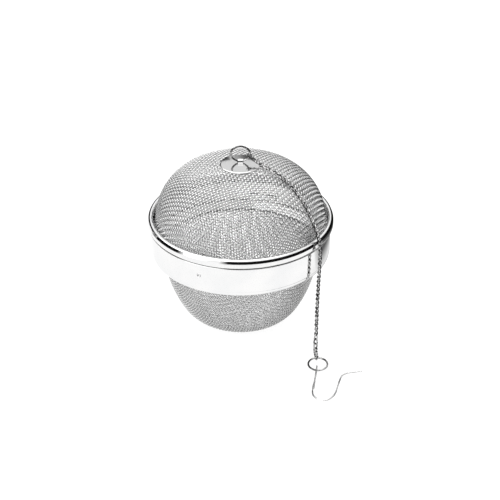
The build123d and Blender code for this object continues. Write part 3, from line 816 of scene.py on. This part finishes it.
def wire_faces(keep):
    """Quads between kept neighbours along each wire, and a quad over each end of each wire."""
    corner = np.arange(keep.size * SIDES).reshape(*keep.shape, SIDES)
    after = np.roll(corner, -1, axis=-1)
    walls = np.stack([corner[:, :-1], after[:, :-1], after[:, 1:], corner[:, 1:]], -1)
    first, last = keep.copy(), keep.copy()
    first[:, 1:] &= ~keep[:, :-1]
    last[:, :-1] &= ~keep[:, 1:]
    walls = walls[keep[:, :-1] & keep[:, 1:]].reshape(-1, 4)
    return np.vstack([walls, corner[first][:, ::-1], corner[last]])


# %% [markdown]
# ## The cup's cloth
# The cup has a flat bottom to stand on, a rounded corner and a wall that hardly slopes at the
# top, where the cloth turns out over the flange.

# %% Cup cloth
CLOTH = 0.8
HALF = CLOTH / 2
FOOT_R, CORNER_R, WALL_R = 0.3067 * RIM_R, 0.409 * RIM_R, 1.444 * RIM_R
CORNER_TURN, WALL_TURN = 60, 24.9
EDGE_BEND, EDGE_RUN = 0.6, 2.6
cup_shape = Pressed((0, HALF), [
    ("go", FOOT_R), ("left", CORNER_R - HALF, CORNER_TURN), ("left", WALL_R - HALF, WALL_TURN),
    ("right", EDGE_BEND + HALF, CORNER_TURN + WALL_TURN), ("go", EDGE_RUN)])
cup_edge = float(cup_shape.far[-1])
print("cup cloth", round(cup_edge, 1), "mm from its middle to its edge; top at",
      [round(float(v), 2) for v in cup_shape.spots[-1]])
CUP_SPREAD, CUP_LEAN, CUP_TURN = 0.12, 0.55, radians(12)
for name, warp in (("cup_warp_wires", True), ("cup_weft_wires", False)):
    cloth = woven(name, cup_shape, cup_edge, warp, CUP_SPREAD, CUP_LEAN, CUP_TURN)
    settle(cloth, CLOTH_STEEL, "bowl", "woven_wire", *(["bowl_mesh"] if warp else []))

# %% [markdown]
# ## The lid's cloth
# The dome's side is a fairly tight curve and its crown a shallow one. Below, the cloth bends
# out and down, and is clamped inside the skirt.

# %% Lid cloth
DOME_BASE, DOME_SIDE_R, SIDE_TURN = RIM_R - 3.7, 0.622 * RIM_R, 76.0
DOME_DROP, DOME_FOOT_R, FLARE_BEND, DOME_FOOT_H = 2.54, 42.28, 1.5, 6.06
side_x = DOME_BASE - DOME_SIDE_R
side_end = side_x + DOME_SIDE_R * cos(radians(SIDE_TURN))
crown_r = side_end / cos(radians(SIDE_TURN))
crown_cz = CROWN_Z - DOME_DROP + (DOME_SIDE_R - crown_r) * sin(radians(SIDE_TURN))
apex = crown_cz + crown_r
flare = degrees(acos(1 - (DOME_FOOT_R - DOME_BASE) / (2 * FLARE_BEND)))
flare_h = 2 * FLARE_BEND * sin(radians(flare))
dome_shape = Pressed((0, apex - HALF), [
    ("right", crown_r - HALF, 90 - SIDE_TURN), ("right", DOME_SIDE_R - HALF, SIDE_TURN),
    ("left", FLARE_BEND + HALF, flare), ("right", FLARE_BEND - HALF, flare),
    ("go", DOME_FOOT_H - flare_h)])
dome_edge = float(dome_shape.far[-1])
print("dome apex", round(apex, 2), "cloth", round(dome_edge, 1), "mm; edge at",
      [round(float(v), 2) for v in dome_shape.spots[-1]])
DOME_SPREAD, DOME_LEAN, DOME_TURN = 0.10, 1.0, radians(12)
for name, warp in (("dome_warp_wires", True), ("dome_weft_wires", False)):
    cloth = woven(name, dome_shape, dome_edge, warp, DOME_SPREAD, DOME_LEAN, DOME_TURN)
    settle(cloth, CLOTH_STEEL, "lid", "woven_wire", *(["lid_mesh"] if warp else []))

# %% [markdown]
# ## Disc, strap and backing
# A shallow disc covers the crown. Two slits make a tongue in it, whose tip is raised and
# folded back over the ring's wire. A second disc inside the cloth takes the spot welds. One
# sheet could be cut and folded by hand, but it is surer to spin and punch the disc, and to
# bend the strap as its own strip.

# %% Crown disc
DISC_CURVE, DISC_TURN, RIM_BEND, RIM_TURN = 60.0, 8.6, 0.6, 45
WELD_GAP = 0.02
disc_lean, rim_lean = radians(DISC_TURN), radians(DISC_TURN + RIM_TURN)
low_x = DISC_CURVE * sin(disc_lean) + RIM_BEND * (sin(rim_lean) - sin(disc_lean))
low_drop = DISC_CURVE * (1 - cos(disc_lean)) + RIM_BEND * (cos(disc_lean) - cos(rim_lean))
disc_under = crown_cz + sqrt((crown_r + WELD_GAP) ** 2 - low_x ** 2) + low_drop


def disc_section(under, moves):
    """A sheet section from the axis outwards; its inner edge stays flat, on the axis."""
    return sheet_section((0, under), 0, moves)[:-5]


def flat_block(outline, z0, z1):
    """A prism on an outline of four corners."""
    points = np.stack([np.c_[np.array(outline, float), np.full(4, z)] for z in (z0, z1)])
    sides = grid_faces(2, 4, False, True).reshape(-1, 4)
    return make_piece("cutter", points, np.vstack([sides, [[3, 2, 1, 0], [4, 5, 6, 7]]]))


disc = spun("crown_disc", disc_section(disc_under, [
    ("right", DISC_CURVE, DISC_TURN), ("right", RIM_BEND, RIM_TURN)]), segments=144, pole=True)
print("disc stands at", round(disc_under, 2), "mm")

# %% Tongue
ROOT_Y, ROOT_BACK = -1.12, 2.6
TIP, BASE, TONGUE, SLIT = 1.2, 4.2, 5.4, 0.35
base_y, deep = ROOT_Y - TONGUE, 2.0
cuts = [flat_block([(s * BASE, base_y), (s * (BASE + SLIT), base_y + SLIT * 0.6),
                    (s * (TIP + SLIT), ROOT_Y + SLIT), (s * TIP, ROOT_Y)],
                   disc_under - deep, disc_under + deep) for s in (1, -1)]
window = TIP + SLIT
cuts.append(flat_block([(-window, ROOT_Y - 0.02), (window, ROOT_Y - 0.02), (window, ROOT_BACK),
                        (-window, ROOT_BACK)], disc_under - deep - 0.1, disc_under + deep + 0.1))
settle(punch(disc, cuts, 30), DISC_STEEL, "lid", "polished_sheet", "top_disc")

# %% Strap
STRAP_LAP, STRAP_BEND, STRAP_FOLD, STRAP_TAIL, STRAP_SOFT = 0.8, 0.5, 0.62, 0.6, 0.12
EDGE_POINTS = 5                 # that sheet_section gives each cut edge
strap_h = SHEET + 0.12 + RING_WIRE + 0.1
strap_line = sheet_section((ROOT_Y - STRAP_LAP, disc_under), 0, [
    ("go", STRAP_LAP), ("left", STRAP_BEND, 90), ("go", strap_h - STRAP_BEND),
    ("right", STRAP_FOLD, 180), ("go", STRAP_TAIL)])


def flat_strip(name, outline, half):
    """The outline in the plane of y and z, repeated across x, with a side wall at each end."""
    across = np.array([-half, STRAP_SOFT - half, half - STRAP_SOFT, half])
    points = np.stack([np.c_[np.full(len(outline), x), outline] for x in across])
    count = len(outline) // 2 - EDGE_POINTS
    near = np.arange(count)
    far = np.arange(count + EDGE_POINTS, 2 * count + EDGE_POINTS)[::-1]
    wall = np.stack([near[:-1], near[1:], far[1:], far[:-1]], -1)
    round_it = grid_faces(len(across), len(outline), False, True).reshape(-1, 4)
    faces = np.vstack([round_it, wall[:, ::-1], wall + (len(across) - 1) * len(outline)])
    return close_poles(make_piece(name, points, faces, crease=40))


settle(flat_strip("crown_strap", strap_line, TIP), SHEET_STEEL, "lid", "polished_sheet")

# %% Backing disc
BACKING_R = 8.0
backing_top = crown_r - CLOTH - WELD_GAP
backing_turn = degrees(asin(BACKING_R / (crown_r - CLOTH)))
backing = spun("crown_backing_disc", disc_section(crown_cz + backing_top - SHEET, [
    ("right", backing_top - SHEET, backing_turn)]), segments=96, pole=True)
settle(backing, DISC_STEEL, "lid", "polished_sheet", "backing_disc")

# %% [markdown]
# ## Floor and light
# Polished steel shows its surroundings more than itself. White all round makes it vanish, so
# low dark cards stand round the set, seen only in reflections. They draw the black line along
# the bead. The open side, on the left of the front, stays white. The floor glows a little, as
# a light table does, so shadows stay faint.

# %% Floor
def glow_finish(name, colour=0.0, glow=1.0):
    """A matt finish that gives off its own light."""
    skin = Finish(name, Base_Color=grey(colour), Roughness=0.9,
                  Emission_Color=grey(1.0), Emission_Strength=glow)
    skin.shader.inputs["Specular IOR Level"].default_value = 0
    return skin


def stage_sheet(name, points, faces, skin):
    """A set piece, marked as not part of the object."""
    mesh = bpy.data.meshes.new(name)
    mesh.from_pydata(points, [], faces)
    mesh.materials.append(skin.material)
    thing = bpy.data.objects.new(name, mesh)
    bpy.context.scene.collection.objects.link(thing)
    return thing


def flat_square(half, z):
    """Corners and face of a square on its middle."""
    return [(-half, -half, z), (half, -half, z), (half, half, z), (-half, half, z)], [(0, 1, 2, 3)]


def only_reflected(thing):
    """Keeps a set piece out of everything but mirror images."""
    thing.visible_camera = thing.visible_diffuse = False
    thing.visible_shadow = thing.visible_transmission = False


FLOOR_HALF = 3.0
floor = stage_sheet("floor", *flat_square(FLOOR_HALF, 0), glow_finish("floor", 0.25, 0.86))
floor.visible_glossy = False
print("floor", 2 * FLOOR_HALF, "m wide")

# %% Dark cards
LOW, CARD_Z, CARD_FOOT, CARD_AWAY, CARD_H = 0.0002, 0.0003, 0.142, 0.5, 0.28
FAR_FOOT, GREY_FOOT, GREY_FULL = 0.27, 0.088, 0.105
WHITE, BLACK, DARK_GREY = 0.85, 0.005, 0.10


def dark_card(name, rows, begin, end, shade, soft=8.0, steps=72):
    """A card on circles round the set: rows of radius, height and share; both ends fade out."""
    degree = np.linspace(begin, end, steps)
    angle = np.radians(degree)
    points = [(r * cos(a), r * sin(a), z) for r, z, _ in rows for a in angle]
    faces = [(k + i, k + i + 1, k + i + 1 + steps, k + i + steps)
             for k in range(0, steps * (len(rows) - 1), steps) for i in range(steps - 1)]
    skin = glow_finish(name)
    dark = skin.add("ShaderNodeAttribute", {"attribute_name": "darkness"}, out="Fac")
    skin.feed(skin.shader.inputs["Emission Color"], skin.blend(dark, grey(WHITE), grey(shade)))
    card = stage_sheet(name, points, faces, skin)
    fade = np.clip(np.minimum(degree - begin, end - degree) / soft, 0, 1)
    share = np.array([row[2] for row in rows])[:, None] * fade
    darkness = card.data.attributes.new("darkness", "FLOAT", "POINT")
    darkness.data.foreach_set("value", share.astype(np.float32).ravel())
    only_reflected(card)
    print(name, "from", begin, "to", end, "degrees")


near_rows, far_rows = ([(foot, CARD_Z, 1), (CARD_AWAY, CARD_Z, 1), (CARD_AWAY, CARD_H, 1)]
                       for foot in (CARD_FOOT, FAR_FOOT))
grey_rows = [(GREY_FOOT, LOW, 0), (GREY_FULL, LOW, 1), (CARD_FOOT, CARD_Z, 1)]
dark_card("dark_card_right", near_rows, -113, 95, BLACK)
dark_card("dark_card_left", near_rows, 150, 204, BLACK)
dark_card("dark_card_back", far_rows, 84, 160, BLACK, soft=4)
dark_card("grey_card_right", grey_rows, 0, 85, DARK_GREY, soft=14)

# %% [markdown]
# The table that the steel reflects is darker right under the cup, where the cup shades it.
# The glowing floor has no such shade, so a second sheet gives it: the camera never sees it,
# and its glow grows from a middle point outwards.

# %% Reflected table
SHADE_AT, SHADE, SHADE_IN, SHADE_OUT = (0.030, 0.02, 0), 0.52, 0.02, 0.09
skin = Finish("reflected_table", Base_Color=grey(0.0), Roughness=1.0, Emission_Strength=1.0)
where = skin.add("ShaderNodeTexCoord", out="Object")
gap = {0: where, 1: SHADE_AT}
away = skin.add("ShaderNodeVectorMath", {"operation": "DISTANCE"}, gap, "Value")
glow = skin.blend(skin.ramp(away, SHADE_IN, SHADE_OUT), grey(SHADE), grey(1.0))
skin.feed(skin.shader.inputs["Emission Color"], glow)
only_reflected(stage_sheet("reflected_table", *flat_square(FLOOR_HALF, LOW / 2), skin))
print("reflected table shaded to", SHADE, "within", SHADE_IN, "m")

# %% [markdown]
# A white room gives most of the light. One very large soft lamp at the upper left and a
# smaller one overhead brighten the cloth's crests without hard shadows or hot spots.

# %% Light
world = bpy.data.worlds.new("white_room")
world.use_nodes = True
sky = world.node_tree.nodes["Background"]
sky.inputs["Color"].default_value = (1, 1, 1, 1)
sky.inputs["Strength"].default_value = 0.95
bpy.context.scene.world = world
LIT = Vector((0, 0, 0.05))   # both lamps face the middle of the infuser


def soft_lamp(name, where, size, power):
    """A round lamp of size metres that faces the infuser."""
    lamp = bpy.data.objects.new(name, bpy.data.lights.new(name, "AREA"))
    lamp.data.shape, lamp.data.size, lamp.data.energy = "DISK", size, power
    lamp.location = where
    lamp.rotation_mode = "QUATERNION"
    lamp.rotation_quaternion = (LIT - Vector(where)).to_track_quat("-Z", "Y")
    bpy.context.scene.collection.objects.link(lamp)
    print(name, size, "m wide,", power, "W")


soft_lamp("key_light", (-0.95, -0.35, 0.95), 2.6, 15.0)
soft_lamp("top_light", (0, 0, 1.1), 1.1, 3.9)
bpy.context.scene.view_settings.view_transform = "Standard"
